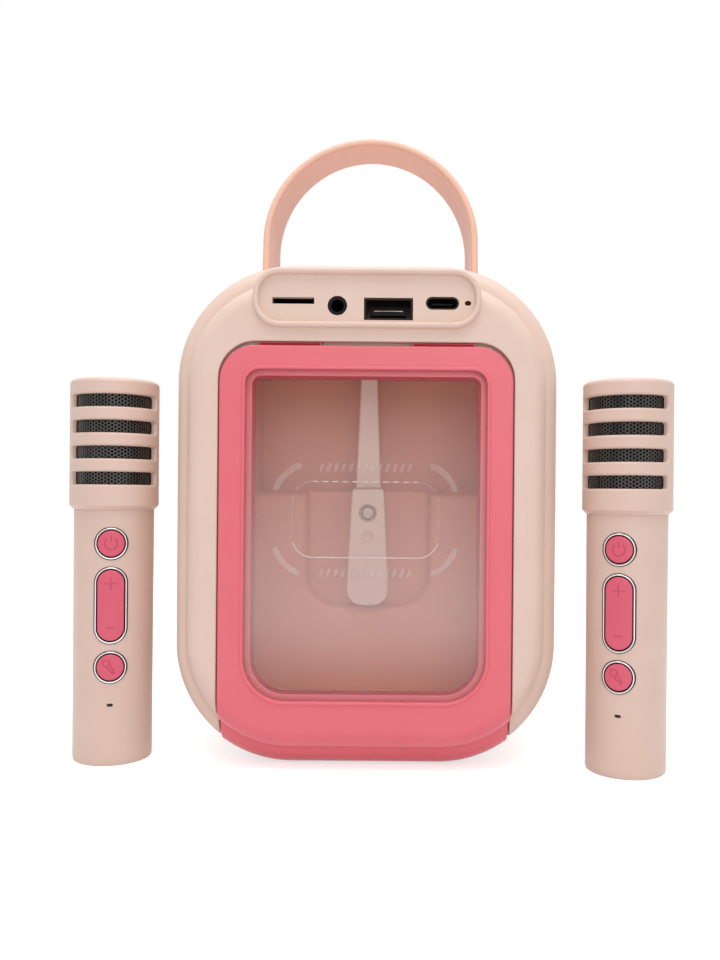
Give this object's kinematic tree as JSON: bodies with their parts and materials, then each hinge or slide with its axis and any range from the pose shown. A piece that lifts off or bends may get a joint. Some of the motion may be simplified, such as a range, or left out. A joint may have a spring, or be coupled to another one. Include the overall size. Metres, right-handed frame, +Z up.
{
  "type": "karaoke speaker with microphones",
  "caption": "Small karaoke speaker with a strap handle, socket panel and a clear-windowed storage bay in its back, with two wireless microphones standing beside it.",
  "frame": {"origin": "on the floor, below the middle of the speaker and of the whole set", "axes": "+Z up, the back with the door faces -Y, +X to the right when looking at that back"},
  "size_m": [0.179, 0.0936, 0.1943],
  "materials": {
    "peach_plastic": "moulded ABS, fine matt texture",
    "bay_plastic": "moulded ABS, smooth",
    "pink_plastic": "moulded ABS, satin",
    "button_plastic": "moulded ABS, satin",
    "clear_plastic": "moulded clear polystyrene",
    "grille_metal": "perforated steel, powder coated",
    "painted_steel": "pressed steel, black paint",
    "ferrite": "sintered ferrite",
    "black_plastic": "moulded, black",
    "steel": "bright zinc plated steel",
    "dark_steel": "blackened steel",
    "mesh_steel": "perforated steel sheet",
    "chrome": "chrome plated ABS",
    "rubber": "moulded rubber",
    "circuit_board": "glass fibre laminate with green mask",
    "battery_wrap": "shrink wrapped cell"
  },
  "bodies": {
    "speaker": {"audio_jack": "black_plastic", "battery_pack": "battery_wrap", "bay_partition": "bay_plastic", "bay_tub": "bay_plastic", "card_socket": "black_plastic", "charge_light_pipe": "clear_plastic", "control_board": "circuit_board", "control_panel": "pink_plastic", "front_grille": "grille_metal", "front_shell": "peach_plastic", "grille_ring": "pink_plastic", "handle_clamps": "steel", "handle_strap": "peach_plastic", "hinge_pin": "steel", "inner_screws": "steel", "main_board": "circuit_board", "rear_shell": "peach_plastic", "rubber_feet": "rubber", "side_screws": "dark_steel", "socket_board": "circuit_board", "speaker_basket": "painted_steel", "speaker_cone": "black_plastic", "speaker_magnet": "ferrite", "usb_a_socket": "steel", "usb_c_socket": "steel"},
    "door": {"door_frame": "pink_plastic", "door_window": "clear_plastic"},
    "control_power": {"button_power": "button_plastic"},
    "control_previous": {"button_previous": "button_plastic"},
    "control_play": {"button_play": "button_plastic"},
    "control_next": {"button_next": "button_plastic"},
    "control_voice": {"button_voice": "button_plastic"},
    "mic_left": {"mic_left_casing": "peach_plastic", "mic_left_head": "peach_plastic", "mic_left_mesh": "mesh_steel", "mic_left_capsule": "black_plastic", "mic_left_board": "circuit_board", "mic_left_cell": "battery_wrap", "mic_left_base_cap": "peach_plastic", "mic_left_button_rings": "chrome", "mic_left_indicator": "clear_plastic"},
    "mic_left_power": {"mic_left_power_button": "button_plastic"},
    "mic_left_volume": {"mic_left_volume_rocker": "button_plastic"},
    "mic_left_effect": {"mic_left_effect_button": "button_plastic"},
    "mic_right": {"mic_right_casing": "peach_plastic", "mic_right_head": "peach_plastic", "mic_right_mesh": "mesh_steel", "mic_right_capsule": "black_plastic", "mic_right_board": "circuit_board", "mic_right_cell": "battery_wrap", "mic_right_base_cap": "peach_plastic", "mic_right_button_rings": "chrome", "mic_right_indicator": "clear_plastic"},
    "mic_right_power": {"mic_right_power_button": "button_plastic"},
    "mic_right_volume": {"mic_right_volume_rocker": "button_plastic"},
    "mic_right_effect": {"mic_right_effect_button": "button_plastic"}
  },
  "joints": [
    {"name": "door_hinge", "type": "hinge", "parent": "speaker", "child": "door", "pos_m": [0, -0.03955, 0.1209], "axis": [-1, 0, 0], "range_deg": [0, 38]},
    {"name": "press_power", "type": "slide", "parent": "speaker", "child": "control_power", "axis": [0, 0, -1], "range_m": [0, 0.0006], "stiffness_N_per_m": 500},
    {"name": "press_previous", "type": "slide", "parent": "speaker", "child": "control_previous", "axis": [0, 0, -1], "range_m": [0, 0.0006], "stiffness_N_per_m": 500},
    {"name": "press_play", "type": "slide", "parent": "speaker", "child": "control_play", "axis": [0, 0, -1], "range_m": [0, 0.0006], "stiffness_N_per_m": 500},
    {"name": "press_next", "type": "slide", "parent": "speaker", "child": "control_next", "axis": [0, 0, -1], "range_m": [0, 0.0006], "stiffness_N_per_m": 500},
    {"name": "press_voice", "type": "slide", "parent": "speaker", "child": "control_voice", "axis": [0, 0, -1], "range_m": [0, 0.0006], "stiffness_N_per_m": 500},
    {"name": "mic_left_lift", "type": "slide", "parent": "speaker", "child": "mic_left", "axis": [0, 0, 1], "range_m": [0, 0.15]},
    {"name": "mic_left_press_power", "type": "slide", "parent": "mic_left", "child": "mic_left_power", "axis": [-0.225, 0.9744, 0], "range_m": [0, 0.0005], "stiffness_N_per_m": 500},
    {"name": "mic_left_press_effect", "type": "slide", "parent": "mic_left", "child": "mic_left_effect", "axis": [-0.225, 0.9744, 0], "range_m": [0, 0.0005], "stiffness_N_per_m": 500},
    {"name": "mic_left_rock_volume", "type": "hinge", "parent": "mic_left", "child": "mic_left_volume", "pos_m": [-0.07458, -0.03382, 0.04685], "axis": [0.9744, 0.225, 0], "range_deg": [-2.5, 2.5], "stiffness_Nm_per_rad": 0.03},
    {"name": "mic_right_lift", "type": "slide", "parent": "speaker", "child": "mic_right", "axis": [0, 0, 1], "range_m": [0, 0.15]},
    {"name": "mic_right_press_power", "type": "slide", "parent": "mic_right", "child": "mic_right_power", "axis": [0.4226, 0.9063, 0], "range_m": [0, 0.0005], "stiffness_N_per_m": 500},
    {"name": "mic_right_press_effect", "type": "slide", "parent": "mic_right", "child": "mic_right_effect", "axis": [0.4226, 0.9063, 0], "range_m": [0, 0.0005], "stiffness_N_per_m": 500},
    {"name": "mic_right_rock_volume", "type": "hinge", "parent": "mic_right", "child": "mic_right_volume", "pos_m": [0.0728, -0.04206, 0.04685], "axis": [0.9063, -0.4226, 0], "range_deg": [-2.5, 2.5], "stiffness_Nm_per_rad": 0.03}
  ]
}
